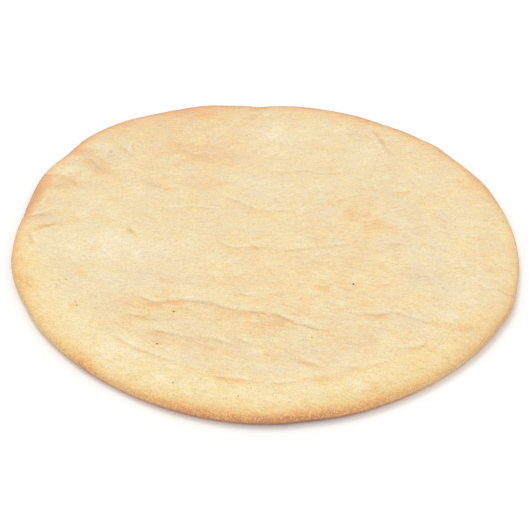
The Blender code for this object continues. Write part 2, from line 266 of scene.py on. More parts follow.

# Soft ovals of skin that is baked more or less than the rest, under more or less flour, and
# ovals of painted shade in the pinches' hollows: X and Y of the middle, the half-length and
# half-width in millimetres, the bearing of the length, and what it adds to the bake and to the
# flour.
PATCHES = (
    # Toasted where the skin stood up in folds, over the front.
    (-82, -89, 24, 9.5, -5, 0.22, -0.22),
    (-102, -84, 6, 4.5, 0, 0.08, 0),
    (-65, -86, 6, 4, 0, 0.14, -0.1),
    (-88, -102.5, 22, 4, -6, 0.15, 0.04),
    (-42, -104, 10, 4, -4, 0.06, 0),
    (-10, -104, 34, 10, -14, 0.19, -0.06),
    (8, -98, 14, 3, -12, 0.14, 0),
    (12, -111, 12, 6, -20, 0.14, -0.12),
    (-12, -119, 14, 4, -8, 0.09, -0.06),
    (3, -144.5, 2.6, 2, 0, 0.26, -0.2),
    (-72, -121, 22, 5, -8, 0.2, 0.16),
    (-48, -128, 14, 5, -26, 0.14, 0.2),
    (-76, -130, 6, 6, 0, 0.22, 0.1),
    (-20, -134, 16, 5, -22, 0.06, 0.2),
    (-28, -142, 8, 9, 0, 0.08, -0.14),
    (-26, -172.5, 18, 3.5, -14, 0.1, -0.04),
    (80, -102, 18, 5, -6, 0.08, 0.04),
    (88, -102, 6, 4, 0, 0.14, 0),
    (120, -108, 14, 5, -28, 0.05, 0.1),
    (-30, -169, 18, 5, -20, 0.14, 0.08),
    (28, -151, 14, 4, -30, 0.2, -0.1),
    (64, -164, 36, 6, 14, 0.12, 0.14),
    (44, -173, 14, 4, 5, 0.14, 0),
    (106, -140, 12, 4, 5, 0.08, 0.1),
    (-14, -72, 18, 4, -6, 0.1, 0.18),
    (49, -65.5, 9, 3, 20, 0.12, 0),
    (94, -64.5, 8, 3, 18, 0.12, 0),
    (55, -62, 60, 26, 0, 0.04, -0.14),
    (-12, -60, 24, 6, 0, 0.08, -0.05),
    (40, -40, 12, 9, 0, 0.06, -0.12),
    (66, -130, 16, 10, 0, 0.06, -0.08),
    (-80, -158, 26, 6, -30, 0.05, 0),
    # Toasted over the middle and the far half.
    (-18, -25, 10, 4, -20, 0.12, 0.1),
    (20, -28, 12, 4, 0, 0.06, 0.06),
    (-62, -20, 4, 4, 0, 0.08, 0.05),
    (106, -19, 16, 4, 12, 0.08, 0.24),
    (90, 12, 24, 12, -30, 0.08, -0.06),
    (60, 30, 10, 7, 0, -0.06, 0),
    (88, 0, 10, 4, 0, 0.08, -0.08),
    (108, 14, 10, 7, 0, -0.1, 0),
    (72, 25, 8, 6, 0, 0.05, -0.05),
    (91, 43, 4, 6, 0, 0.15, 0),
    (94, 4.5, 12, 5, 5, 0.03, 0),
    (122, 17, 4, 5, 0, 0.14, 0),
    (78, 30, 18, 15, 0, 0.13, -0.05),
    (58, 4, 14, 9, 0, 0.08, 0),
    (47, 128, 10, 5, -20, 0.18, 0),
    (50, 91, 34, 5, 2, 0.06, 0.2),
    (64, 86, 11, 4, 10, 0.14, 0),
    (-60, 122, 45, 18, -20, 0.19, -0.03),
    (-50, 109, 18, 8, -20, 0.16, -0.05),
    (-68, 128, 12, 5, -20, 0.12, 0.05),
    (-26, 112, 8, 6, 0, 0.14, -0.05),
    (-27, 138, 14, 18, 0, 0.07, 0),
    (-90, 67, 13, 5, -35, 0.24, 0.16),
    (-84, 74, 20, 10, -15, 0.08, 0.05),
    (-52, 70, 16, 10, 0, 0.1, 0.05),
    (-39, 66, 11, 7, 0, 0.11, 0.05),
    (-52, 42, 22, 3, -2, 0.04, 0.16),
    (-106, 92, 14, 6, 0, 0.02, 0.18),
    (-90, 160, 44, 11, 12, 0.16, 0.06),
    (-60, 177, 20, 9, 0, 0.18, -0.2),
    (-20, 174, 32, 11, 0, 0.07, 0),
    (84, 164, 16, 8, -20, 0.2, -0.05),
    (-105.5, 4, 9, 2.8, -58, 0.28, 0),
    (158, 116, 6, 3, -45, 0.16, 0),
    # Spots at the left of the well.
    (-141, -92, 4, 4, 0, 0.26, 0.2),
    (-86, -123, 3, 3, 0, 0.16, 0),
    (-47, -181, 3, 3, 0, 0.14, 0),
    (-152, -61, 4, 2, 0, 0.22, 0.05),
    (-142, -47.5, 4, 4, 0, 0.2, 0),
    (-73, -58.5, 10, 4, -30, 0.14, -0.05),
    (-133, -20, 4, 3, 0, 0.1, 0.05),
    # Painted shade in the pinches' hollows, as extra bake and flour.
    (-146, 100, 16, 6.5, -48, 0.46, 0.22),
    (-160, 117, 12, 6, 10, 0.1, 0),
    (-136, 89, 6, 5, -40, 0.2, 0.1),
    (-138, 86, 12, 5, -20, 0.12, 0),
    (-184, 69, 14, 6, 62, 0.18, 0),
    (-168, 67, 12, 5.5, 30, 0.34, 0.24),
    (-155, 63, 8, 4, -20, 0.18, 0.2),
    (-187, 50, 16, 4, 75, 0.14, -0.1),
    (-165, 50, 12, 10, 80, 0.06, 0.1),
    (-179, 16, 13, 5.5, -10, 0.22, 0.4),
    (-180, 22.5, 10, 1.8, 0, 0.22, 0.1),
    (-176, 5.5, 10, 2.8, 14, 0.36, -0.1),
    (-190, 26, 8, 4, 0, 0.1, 0.1),
    # Golden inner side of the rim.
    (-188, -50, 42, 12, 100, 0.09, -0.2),
    (-176, -64, 10, 8, 100, 0.12, 0),
    (-152, -118, 36, 10, 130, 0.05, 0),
    (122, -145, 56, 15, 38, 0.08, -0.06),
    (151, -118, 10, 7, 40, 0.08, -0.1),
    # Floury and pale.
    (-122, -10, 46, 24, -8, -0.2, -0.3),
    (-150, -25, 24, 16, 0, -0.1, -0.05),
    (-100, -8, 8, 5, -20, -0.12, -0.1),
    (-145, 40, 9, 17, 0, -0.12, -0.15),
    (-122, -62, 38, 14, -8, -0.12, 0.04),
    (-84, -24, 26, 14, 0, -0.08, 0.14),
    (-30, -31, 9, 4, 0, -0.12, 0),
    (-36, -75, 36, 4, -12, -0.1, -0.15),
    (-100, -124, 20, 7, -45, -0.1, -0.05),
    (-106, -135, 20, 8, -35, -0.13, 0),
    (-130, -104, 8, 9, 0, -0.09, 0.05),
    (-145, -80, 20, 12, -60, -0.04, 0),
    (-57, -150, 8, 4, 0, -0.14, 0),
    (-4, -139, 9, 5, 0, -0.14, 0),
    (24, -162, 28, 6, 0, -0.07, 0.05),
    (104, -109, 14, 6, -8, -0.1, 0),
    (152, -80, 20, 14, 0, -0.16, 0.08),
    (137, -103, 16, 6, -28, -0.2, 0),
    (130, -69, 13, 6, 0, -0.12, 0),
    (130, -56, 20, 10, 0, 0.06, 0.34),
    (134, -28, 20, 10, -10, -0.1, 0.16),
    (162, 16, 10, 10, 0, -0.12, 0),
    (142, 76, 16, 11, 0, -0.1, 0),
    (88, 116, 11, 16, -30, -0.14, -0.1),
    (62, 150, 15, 14, 0, -0.09, -0.05),
    (12, 148, 26, 16, 0, -0.22, -0.2),
    (14, 126, 12, 16, 0, -0.1, -0.08),
    (4, 62, 22, 16, 0, -0.15, 0),
    (48, 66, 13, 6, 0, -0.15, 0),
    (-143, 121, 10, 5.5, 0, -0.34, 0.3),
    (-118, 127, 9, 6, 0, -0.14, 0),
    (-98, 113, 12, 6, 0, 0.04, -0.2),
    (-166, 87, 15, 7, -30, -0.24, -0.2),
)

# The rounded edge bakes harder than the top.  Going in from the edge, the browning of the
# wall fades over a few millimetres, and a golden tinge reaches on over the shoulder.
EDGE_BROWNING = 0.15
EDGE_BROWNING_REACH = 0.0045
BROWNING_FADE = 1.5  # power of the fading; the higher, the sharper its inner border
FOOT_BROWNING = 0.7  # how much further the browning goes on the wall's way down to the foot
EDGE_GOLD = 0.10
EDGE_GOLD_REACH = 0.013
EDGE_DULLING_REACH = 0.008  # how far in the dull tan of some stretches fades
SINGED_LINE = 0.48  # how far the edge's outermost line is singed, along its top
SINGED_REACH = 0.0010  # how far in that line reaches, and how much further behind
SINGED_REACH_BEHIND = 0.0034
SINGED_FRONT = 0.15  # how much of that line shows at the very front
SINGED_SIDES = 0.9  # and how much at the two sides
SINGED_PALING = 0.55  # how much less the singed line is baked, as it dries to grey
FOOT_SHADE = 0.09  # how much painted shade darkens the wall's foot, and how much more where it is worst
FOOT_SHADE_FADE = 0.45  # power with which that painted shade fades on the way up the wall
FOOT_SHADE_WORST = (277.0, 15.0, 0.55)  # that stretch's bearing, its half-width and its extra painted shade
BARE_RIM = (252.0, 72.0)  # bearing and half-width of the stretch of rim without flour
WELL_STARTS = 0.016  # inset from which the rim goes over into the well inside it
WELL_SLOPE = 0.030  # how much further in the well is reached

# Stretches of the edge baked unlike the rest: bearing, half-width in degrees, and what each
# adds to the browning, its reach, the gold and the dulling.
EDGE_STRETCHES = (
    (271.0, 26.0, 0.29, 0.0020, 0.0, 0.0),
    (254.0, 8.0, 0.06, 0.0010, 0.03, 0.0),
    (238.0, 12.0, 0.06, 0.0, 0.0, 0.0),
    (229.0, 9.0, 0.12, 0.0005, 0.04, 0.0),
    (274.0, 6.0, 0.06, 0.0, 0.0, 0.0),
    (292.0, 12.0, 0.02, 0.0015, 0.05, 0.0),
    (330.0, 14.0, 0.04, 0.0, 0.04, 0.0),
    (18.0, 9.0, 0.12, 0.0030, 0.06, 0.20),
    (45.0, 22.0, 0.15, 0.0050, 0.06, 0.26),
    (80.0, 26.0, 0.17, 0.0070, 0.06, 0.40),
    (112.0, 18.0, 0.12, 0.0065, 0.17, 0.20),
    (140.0, 18.0, 0.12, 0.0050, 0.10, 0.18),
    (166.0, 10.0, 0.16, 0.0060, 0.11, 0.12),
    (182.0, 10.0, 0.03, 0.0, 0.08, 0.0),
    (196.0, 14.0, 0.0, 0.0, 0.06, 0.0),
)

# Burnt crumbs baked on to the skin: X, Y and the width in millimetres, and how far each is
# charred.
FLECKS = (
    (69.5, -63.5, 1.5, 1.0),
    (-66, -96.8, 1.4, 0.45),
    (-76, -132.8, 1.3, 0.15),
    (-138.5, -91.5, 1.1, 0.1),
    (-140, -87.5, 0.9, 0.0),
    (36, -124, 0.9, 0.2),
    (-16.5, -188, 1, 0.0),
    (-62, -175, 1, 0.0),
    (-150.5, -60.5, 0.9, 0.0),
    (-187, 84.5, 1.3, 0.4),
)

# ------ Mesh density of the skin ------
SKIN_RINGS = 144  # rings of the upper grid, from the middle to the foot of the edge
UNDER_SHARE = 3  # the underside has one ring for each so many of the upper grid's
UNDER_FILL = 0.985  # how much of the underside its own rings cover, out from the middle

# The flat map: middle and half-width of each of its two rounds.
TOP_MAP = ((0.367, 0.633), 0.360)
UNDER_MAP = ((0.780, 0.220), 0.212)


# ------ The form of the crust, as functions of place ------
def smooth_step(value):
    """0 to 1 with level ends, as the value goes from 0 to 1."""
    value = np.clip(value, 0.0, 1.0)
    return value * value * (3.0 - 2.0 * value)


def lobed(lobes, bearings):
    """The sum of slow lobes at each bearing."""
    return sum(
        size * np.cos(np.radians(count * (bearings - crest))) for count, size, crest in lobes
    )


def near_bearing(bearings, bearing, half_width, power=2):
    """1 at one bearing, falling off smoothly to nothing on both sides of it."""
    turn = (bearings - bearing + 180.0) % 360.0 - 180.0
    return np.exp(-((turn / half_width) ** power))


def edge_radius(bearings):
    """Distance from the round's middle to its edge at each bearing."""
    radius = MEAN_RADIUS + lobed(OUTLINE_LOBES, bearings)
    for bearing, half_width, size in EDGE_MARKS:
        radius = radius + size * near_bearing(bearings, bearing, half_width)
    return radius


def box_middle():
    """The middle of the edge's box, which goes on the Z axis."""
    bearings = np.arange(0.0, 360.0, 0.1)
    radius = edge_radius(bearings)
    x = radius * np.cos(np.radians(bearings))
    y = radius * np.sin(np.radians(bearings))
    return (x.min() + x.max()) / 2.0, (y.min() + y.max()) / 2.0


def smooth_path(points, steps=6):
    """A smooth curve through points in millimetres, as close-set points in metres."""
    knots = np.array([points[0], *points, points[-1]]) * MM
    curve = []
    for a, b, c, d in zip(knots, knots[1:], knots[2:], knots[3:]):
        for t in np.arange(steps) / steps:
            bend = (2.0 * a - 5.0 * b + 4.0 * c - d) * t**2 + (3.0 * (b - c) + d - a) * t**3
            curve.append(b + 0.5 * ((c - a) * t + bend))
    curve.append(knots[-1])
    return np.array(curve)


def beside_path(x, y, path):
    """How far each place lies left of the path, and its distance from the path's nearer end."""
    curve = smooth_path(path)
    lengths = np.hypot(*np.diff(curve, axis=0).T)
    starts = np.concatenate([[0.0], np.cumsum(lengths)])
    nearest = np.full(x.shape, np.inf)
    left = np.zeros(x.shape)
    along = np.zeros(x.shape)
    for (ax, ay), (bx, by), start, length in zip(curve, curve[1:], starts, lengths):
        run = ((bx - ax) / length, (by - ay) / length)
        share = np.clip((x - ax) * run[0] + (y - ay) * run[1], 0.0, length)
        away = np.hypot(x - ax - share * run[0], y - ay - share * run[1])
        side = np.sign((y - ay) * run[0] - (x - ax) * run[1])
        closer = away < nearest
        nearest = np.where(closer, away, nearest)
        left = np.where(closer, away * side, left)
        along = np.where(closer, start + share, along)
    return left, np.minimum(along, starts[-1] - along)


def fold_height(x, y, ridge, hollow, width, path):
    """A fold's ridge and hollow, faded out towards its two ends."""
    left, from_end = beside_path(x, y, path)
    left = left / (width * MM)
    height = np.zeros(x.shape)
    for size, (place, spread) in ((ridge, RIDGE_FORM), (-hollow, HOLLOW_FORM)):
        height += size * MM * np.exp(-(((left - place) / spread) ** 2))
    return height * smooth_step(from_end / FOLD_TAPER)


def near_path(x, y, path, margin):
    """Which places lie in the box round a path, with a margin."""
    corners = np.array(path) * MM
    low, high = corners.min(axis=0) - margin, corners.max(axis=0) + margin
    return (x > low[0]) & (x < high[0]) & (y > low[1]) & (y < high[1])


def oval(x, y, middle_x, middle_y, half_length, half_width, bearing):
    """1 at the middle of a soft oval, told in millimetres, falling to nothing round it."""
    turn = math.radians(bearing)
    east = x / MM - middle_x
    north = y / MM - middle_y
    along = (east * math.cos(turn) + north * math.sin(turn)) / half_length
    across = (north * math.cos(turn) - east * math.sin(turn)) / half_width
    return np.exp(-(along**2) - across**2)


def noise_at(x, y, along_x, along_y, layer):
    """Smooth noise about zero with features of one size each way, on one of its layers."""
    places = zip(x / along_x, y / along_y)
    return np.array([noise.noise(Vector((u, v, layer))) for u, v in places])


def relief(x, y):
    """Everything that lifts or sinks the top from its turned shape."""
    height = np.zeros(x.shape)
    for layer, (size, along_x, along_y) in enumerate(STRETCH_WAVES):
        height += size * noise_at(x, y, along_x, along_y, WAVE_STEP * layer)
    for ridge, hollow, width, *path in FRONT_FOLDS + MIDDLE_FOLDS + PINCH_FOLDS:
        near = near_path(x, y, path, FOLD_MARGIN * width * MM)
        height[near] += fold_height(x[near], y[near], ridge, hollow, width, path)
    for *place, size in SWELLINGS:
        height += size * MM * oval(x, y, *place)
    return height


def rim_share(inset):
    """1 at the rim's crest, falling to 0 at its foot on the inner side and at the edge."""
    inner = smooth_step((RIM_FOOT_INSET - inset) / (RIM_FOOT_INSET - RIM_CREST_INSET))
    return np.where(inset > RIM_CREST_INSET, inner, smooth_step(inset / RIM_CREST_INSET))


def crust_section(steps=400):
    """Half of the section, as close-set points: out over the top and round to the foot."""
    crest = MEAN_RADIUS - RIM_CREST_INSET
    over = np.linspace(0.0, crest, steps, endpoint=False)
    rise = rim_share(MEAN_RADIUS - over)
    top = np.stack([over, MIDDLE_THICKNESS + (RIM_THICKNESS - MIDDLE_THICKNESS) * rise], axis=1)
    power = 2.0 / SHOULDER_FULLNESS
    turn = np.linspace(0.0, math.pi / 2.0, steps)
    out = crest + RIM_CREST_INSET * np.sin(turn) ** power
    up = EDGE_HEIGHT + (RIM_THICKNESS - EDGE_HEIGHT) * np.clip(np.cos(turn), 0.0, 1.0) ** power
    inward = MEAN_RADIUS - EDGE_TUCK * (1.0 - np.cos(turn[1:]))
    down = EDGE_HEIGHT * (1.0 - np.sin(turn[1:]))
    return np.concatenate([top, np.stack([out, up], axis=1), np.stack([inward, down], axis=1)])


# ------ What the finish reads at each point of the skin ------
def beside_creases(x, y):
    """How far left of the nearest crease's line each place lies, and that crease's strength."""
    beside = np.full(x.shape, CREASE_REACH)
    strength = np.zeros(x.shape)
    for full, *path in CREASES:
        near = np.flatnonzero(near_path(x, y, path, CREASE_REACH))
        places = x[near], y[near]
        left, from_end = beside_path(*places, path)
        left = left + CREASE_WAVER * noise_at(*places, CREASE_BEND, CREASE_BEND, layer=5.0)
        left = left / (THIN_CREASE + (1.0 - THIN_CREASE) * full)
        closer = np.abs(left) < np.abs(beside[near])
        length = np.hypot(*np.diff(smooth_path(path), axis=0).T).sum()
        breaks = noise_at(*places, CREASE_BREAKS, CREASE_BREAKS, layer=9.0)
        whole = smooth_step(CREASE_WHOLE[0] + CREASE_WHOLE[1] * breaks)
        shown = full * smooth_step(from_end / min(CREASE_TAPER, SHORT_TAPER * length))
        shown = shown * (CREASE_FAINTEST + (1.0 - CREASE_FAINTEST) * whole)
        beside[near[closer]] = left[closer]
        strength[near[closer]] = shown[closer]
    return beside, strength * smooth_step(2.0 - 2.0 * np.abs(beside) / CREASE_REACH)


def lip_height(beside, strength):
    """The skin's step at a crease: a lip on the left of its line and a foot on the right."""
    step = np.tanh(beside / LIP_TURN) * np.exp(-np.abs(beside) / LIP_WIDTH)
    return LIP_HEIGHT * strength**2 * step


def edge_bake(bearings, inset, height):
    """Extra baking of the edge, and how far it is browned, dulled, singed, and darkened by painted
    shade.
    """
    plain = np.array([EDGE_BROWNING, EDGE_BROWNING_REACH, EDGE_GOLD, 0.0])
    browning, reach, gold, dulling = plain[:, None] + sum(
        np.outer(added, near_bearing(bearings, bearing, half_width))
        for bearing, half_width, *added in EDGE_STRETCHES
    )
    inward = np.where(height < EDGE_HEIGHT, 0.0, inset)
    low = np.clip(1.0 - height / EDGE_HEIGHT, 0.0, 1.0)
    browned = np.exp(-((inward / reach) ** BROWNING_FADE))
    extra = browning * browned + gold * np.exp(-inward / EDGE_GOLD_REACH)
    extra = extra + FOOT_BROWNING * browning * low
    dulled = dulling * np.exp(-((inward / EDGE_DULLING_REACH) ** 2))
    behind = np.sin(np.radians(bearings))
    shown = np.clip(SINGED_SIDES + behind, SINGED_FRONT, 1.0)
    reach = SINGED_REACH + SINGED_REACH_BEHIND * np.clip(behind, 0.0, 1.0) ** 2
    line = SINGED_LINE * shown * np.exp(-((inward / reach) ** 2)) * (1.0 - low)
    # Painted shade on the wall, growing down to its foot at the floor.
    bearing, half_width, more = FOOT_SHADE_WORST
    wall = FOOT_SHADE + more * near_bearing(bearings, bearing, half_width)
    return extra - SINGED_PALING * line, browned, dulled, line + wall * low**FOOT_SHADE_FADE


def in_well(inset):
    """0 on the rim and 1 in the well inside it."""
    return smooth_step((inset - WELL_STARTS) / WELL_SLOPE)


def floured_share(bearings, inset):
    """How much flour lies at each place: all of it in the well, none on the rim's front."""
    return 1.0 - (1.0 - in_well(inset)) * near_bearing(bearings, *BARE_RIM, power=4)


# ------ The crust's mesh ------
def round_grid(rings, name):
    """A square grid drawn round: its mesh, and each point's share of the radius and bearing."""
    build = bmesh.new()
    bmesh.ops.create_grid(build, x_segments=2 * rings, y_segments=2 * rings, size=1.0)
    mesh = bpy.data.meshes.new(name)
    build.to_mesh(mesh)
    build.free()
    places = np.array([vertex.co for vertex in mesh.vertices])
    u, v = places[:, 0], places[:, 1]
    share = np.maximum(np.abs(u), np.abs(v))
    sideways = np.abs(u) >= np.abs(v)
    wide = np.where(sideways, u, v)
    narrow = np.where(sideways, v, -u)
    lean = np.divide(narrow, wide, out=np.zeros_like(narrow), where=wide != 0.0)
    bearings = 45.0 * lean + np.where(sideways, 0.0, 90.0) + np.where(wide < 0.0, 180.0, 0.0)
    return mesh, share, bearings


def faces_of(mesh):
    return [tuple(face.vertices) for face in mesh.polygons]


def border_by_bearing(share, bearings):
    """The grid's outermost points, in order of their bearing."""
    border = np.flatnonzero(share > 1.0 - 1e-6)
    return border[np.argsort(bearings[border] % 360.0)]


def crust_blank():
    """The closed crust mesh with its points' section place and bearing, still unplaced."""
    under_rings = SKIN_RINGS // UNDER_SHARE
    top, top_share, top_bearings = round_grid(SKIN_RINGS, "upper grid")
    under, under_share, under_bearings = round_grid(under_rings, "under grid")
    faces = faces_of(top)
    first_under = len(top.vertices)
    faces += [tuple(first_under + i for i in reversed(face)) for face in faces_of(under)]
    outer = border_by_bearing(top_share, top_bearings)
    inner = first_under + border_by_bearing(under_share, under_bearings)
    for i, corner in enumerate(inner):
        following = inner[(i + 1) % len(inner)]
        a, b, c = (outer[i * UNDER_SHARE + k] for k in range(UNDER_SHARE))
        d = outer[(i + 1) * UNDER_SHARE % len(outer)]
        faces += [(a, corner, b), (b, corner, following, c), (c, following, d)]
    share = np.concatenate([top_share, under_share])
    bearings = np.concatenate([top_bearings, under_bearings])
    is_under = np.arange(len(share)) >= first_under
    bpy.data.meshes.remove(top)
    bpy.data.meshes.remove(under)
    return faces, share, bearings, is_under


def along_section(section, share):
    """Radius and height at a share of the section's length."""
    lengths = np.hypot(*np.diff(section, axis=0).T)
    reached = np.concatenate([[0.0], np.cumsum(lengths)])
    place = share * reached[-1]
    return np.interp(place, reached, section[:, 0]), np.interp(place, reached, section[:, 1])


def set_attribute(mesh, name, values):
    attribute = mesh.attributes.new(name, "FLOAT", "POINT")
    attribute.data.foreach_set("value", values.astype(np.float32))


def set_bake_map(mesh, share, bearings, is_under):
    """A flat map: the top with its edge as one round, the underside as another."""
    turn = np.radians(bearings)
    outward = np.stack([np.cos(turn), np.sin(turn)], axis=1)
    under_share = np.where(is_under, share * UNDER_FILL, 1.0)
    layer = mesh.uv_layers.new(name="OFBake")
    uv = np.zeros((len(mesh.loops), 2))
    for face in mesh.polygons:
        corners = np.array(face.vertices)
        below = is_under[corners].any()
        middle, half_width = UNDER_MAP if below else TOP_MAP
        radius = (under_share if below else share)[corners, None] * half_width
        uv[np.array(face.loop_indices)] = middle + radius * outward[corners]
    layer.data.foreach_set("uv", uv.astype(np.float32).ravel())


def crust_mesh():
    """The crust's skin in its place: form, folds, and what the finish reads at each point."""
    faces, share, bearings, is_under = crust_blank()
    section = crust_section()
    foot = section[-1, 0]
    radius, height = along_section(section, np.where(is_under, 1.0, share))
    radius = np.where(is_under, share * foot * UNDER_FILL, radius)

    pull = (edge_radius(bearings) - MEAN_RADIUS) * (radius / MEAN_RADIUS) ** 2
    x = (radius + pull) * np.cos(np.radians(bearings))
    y = (radius + pull) * np.sin(np.radians(bearings))
    inset = MEAN_RADIUS - radius
    on_top = ~is_under & (height > EDGE_HEIGHT)
    browning, browned, dulled, singed_and_shaded = edge_bake(bearings, inset, height)
    above_foot = smooth_step(height / EDGE_HEIGHT)
    shown = smooth_step((inset - RELIEF_STARTS) / (RELIEF_FULL - RELIEF_STARTS)) * on_top
    height = height + relief(x, y) * shown + lobed(RIM_LOBES, bearings) * rim_share(inset) * on_top
    beside, crease = beside_creases(x, y)
    height = height + lip_height(beside, crease) * on_top
    bake = np.zeros(x.shape)
    flour = np.zeros(x.shape)
    for *place, patch_bake, patch_flour in PATCHES:
        near = oval(x, y, *place)
        bake += PATCH_CONTRAST * patch_bake * near
        flour += patch_flour * near

    middle_x, middle_y = box_middle()
    mesh = bpy.data.meshes.new("crust skin")
    places = np.stack([x - middle_x, y - middle_y, height], axis=1)
    mesh.from_pydata(places.tolist(), [], faces)
    readings = {
        "toast_and_shade": bake * on_top,
        "edge bake": browning * ~is_under,
        "browned": browned * ~is_under,
        "dulled": dulled * ~is_under,
        "singed_and_shaded": singed_and_shaded * ~is_under,
        "flour": flour * on_top,
        "above foot": above_foot * ~is_under,
        "well": in_well(inset) * on_top,
        "floured": np.where(is_under, 1.0, floured_share(bearings, inset)),
        "under": is_under.astype(float),
        "beside crease": beside,
        "crease": crease * on_top,
    }
    for name, values in readings.items():
        set_attribute(mesh, name, values)
    set_bake_map(mesh, share, bearings, is_under)
    mesh.shade_smooth()
    return mesh


# ------ Small helpers for node trees ------
FLOAT, VECTOR, COLOUR = "NodeSocketFloat", "NodeSocketVector", "NodeSocketColor"
GEOMETRY, MATERIAL = "NodeSocketGeometry", "NodeSocketMaterial"

STREAK_SWAY = 0.030  # how far the streaks of the skin sway to the sides of their run
STREAK_BEND = 0.075  # length of the bends in which they sway
STREAK_LEAN = 0.22  # how much they lean towards the front as they run to the right
LEAN_FADES = (-0.12, 0.05)  # from where to where, along Y, that lean fades out


def linear(screen):
    """A screen colour, 0 to 255, as the linear colour that a shader takes."""
    shares = [channel / 255.0 for channel in screen]
    return (*(c / 12.92 if c <= 0.04045 else ((c + 0.055) / 1.055) ** 2.4 for c in shares), 1.0)


class Tree:
    """A node tree with short ways to add and join its nodes."""

    def __init__(self, tree):
        self.tree = tree

    def feed(self, socket, value):
        """Joins a socket to another, or sets its own number or colour."""
        if isinstance(value, bpy.types.NodeSocket):
            self.tree.links.new(value, socket)
        else:
            socket.default_value = value

    def add(self, kind, settings=None, **inputs):
        """A node of a kind, its settings, and what feeds its named inputs."""
        node = self.tree.nodes.new(kind)
        for name, value in (settings or {}).items():
            setattr(node, name, value)
        for name, value in inputs.items():
            self.feed(node.inputs[name.replace("_", " ")], value)
        return node

    def math(self, operation, a, b=0.0, clamp=False):
        node = self.add("ShaderNodeMath", {"operation": operation, "use_clamp": clamp})
        self.feed(node.inputs[0], a)
        self.feed(node.inputs[1], b)
        return node.outputs[0]

    def plus(self, a, b):
        return self.math("ADD", a, b)

    def minus(self, a, b):
        return self.math("SUBTRACT", a, b)

    def times(self, a, b):
        return self.math("MULTIPLY", a, b)

    def over(self, a, b):
        return self.math("DIVIDE", a, b)

    def sum(self, *values):
        total = values[0]
        for value in values[1:]:
            total = self.plus(total, value)
        return total

    def weighed(self, *pairs):
        """The sum of values, each times its weight."""
        return self.sum(*(self.times(value, weight) for value, weight in pairs))

    def bell(self, value, middle, half_width):
        """1 where the value is at the middle, falling off smoothly to both sides."""
        off = self.over(self.minus(value, middle), half_width)
        return self.math("EXPONENT", self.times(self.times(off, off), -1.0))

    def map_range(self, value, low, high, to_low=0.0, to_high=1.0):
        node = self.add("ShaderNodeMapRange", {"interpolation_type": "SMOOTHSTEP"})
        for socket, setting in zip(node.inputs, (value, low, high, to_low, to_high)):
            self.feed(socket, setting)
        return node.outputs[0]

    def mix(self, share, plain, other, clamp=True):
        """A colour with a share of another in it, or drawn away from it where not clamped."""
        node = self.add("ShaderNodeMix", {"data_type": "RGBA", "clamp_factor": clamp})
        colours = [socket for socket in node.inputs if socket.type == "RGBA"]
        self.feed(node.inputs[0], share)
        self.feed(colours[0], plain)
        self.feed(colours[1], other)
        return next(socket for socket in node.outputs if socket.type == "RGBA")

    def read(self, name):
        """What the mesh holds under a name."""
        if self.tree.bl_idname == "ShaderNodeTree":
            return self.add("ShaderNodeAttribute", {"attribute_name": name}).outputs["Fac"]
        node = self.add("GeometryNodeInputNamedAttribute", {"data_type": "FLOAT"}, Name=name)
        return node.outputs["Attribute"]

    def noise(self, places, size=1.0, detail=2.0, roughness=0.5, seed=0.0):
        """Noise about zero, from -0.5 to 0.5, with features of about one size in metres."""
        node = self.add("ShaderNodeTexNoise", {"noise_dimensions": "4D"}, Vector=places, W=seed)
        is_fed = isinstance(size, bpy.types.NodeSocket)
        self.feed(node.inputs["Scale"], self.over(1.0, size) if is_fed else 1.0 / size)
        node.inputs["Detail"].default_value = detail
        node.inputs["Roughness"].default_value = roughness
        return self.minus(node.outputs["Fac"], 0.5)

    def drawn_out(self, places, length, width, seed=0.0):
        """Places squeezed along X, so that noise on them lies in wavy streaks along X."""
        parts = self.add("ShaderNodeSeparateXYZ", Vector=places)
        x, y, z = parts.outputs
        sway = self.times(self.noise(places, STREAK_BEND, 1.0, 0.5, seed), STREAK_SWAY)
        lean = self.map_range(y, *LEAN_FADES, STREAK_LEAN, 0.0)
        across = self.sum(y, self.times(x, lean), sway)
        drawn = self.add(
            "ShaderNodeCombineXYZ",
            X=self.over(x, length),
            Y=self.over(across, width),
            Z=self.over(z, width),
        )
        return drawn.outputs[0]

    def layer(self, given, places, name, detail=2.0, roughness=0.5, offset=0.0):
        """Noise as large and as strong as a group's inputs say under the layer's name."""
        seed = self.plus(given["Seed"], offset)
        size = given.get(name + " size")
        if size is None:
            size = 1.0
            length, width = given[name + " length"], given[name + " width"]
            places = self.drawn_out(places, length, width, given["Seed"])
        wave = self.noise(places, size, detail, roughness, seed)
        for measure in (" strength", " height"):
            if name + measure in given:
                wave = self.times(wave, given[name + measure])
        return wave

    def raised(self, geometry, height):
        """The geometry with each point moved along its normal."""
        normal = self.add("GeometryNodeInputNormal").outputs[0]
        move = self.add("ShaderNodeVectorMath", {"operation": "SCALE"}, Vector=normal, Scale=height)
        return self.add("GeometryNodeSetPosition", Geometry=geometry, Offset=move.outputs[0])

    def finish(self, geometry, given, result):
        """Hands the geometry out, made real and with its finish on."""
        real = self.add("GeometryNodeRealizeInstances", Geometry=geometry).outputs[0]
        coated = self.add("GeometryNodeSetMaterial", Geometry=real, Material=given["Finish"])
        self.feed(result["Geometry"], coated.outputs[0])


def new_group(name, kind, inputs, outputs):
    """A node group with named sockets: its tree, and the sockets of its two ends.

    An input stands with its default, or with its kind where it has none.
    """
    group = bpy.data.node_groups.new(name, kind)
    for socket_name, value in inputs.items():
        socket_kind = value if isinstance(value, str) else FLOAT
        socket = group.interface.new_socket(socket_name, in_out="INPUT", socket_type=socket_kind)
        if socket_kind == FLOAT:
            socket.default_value = value
    for socket_name, socket_kind in outputs.items():
        group.interface.new_socket(socket_name, in_out="OUTPUT", socket_type=socket_kind)
    given = group.nodes.new("NodeGroupInput").outputs
    result = group.nodes.new("NodeGroupOutput").inputs
    return Tree(group), given, result


def geometry_group(name, values):
    """A node group that works on a mesh by some values and puts its finish on."""
    inputs = {"Geometry": GEOMETRY, **values, "Finish": MATERIAL}
    return new_group(name, "GeometryNodeTree", inputs, {"Geometry": GEOMETRY})


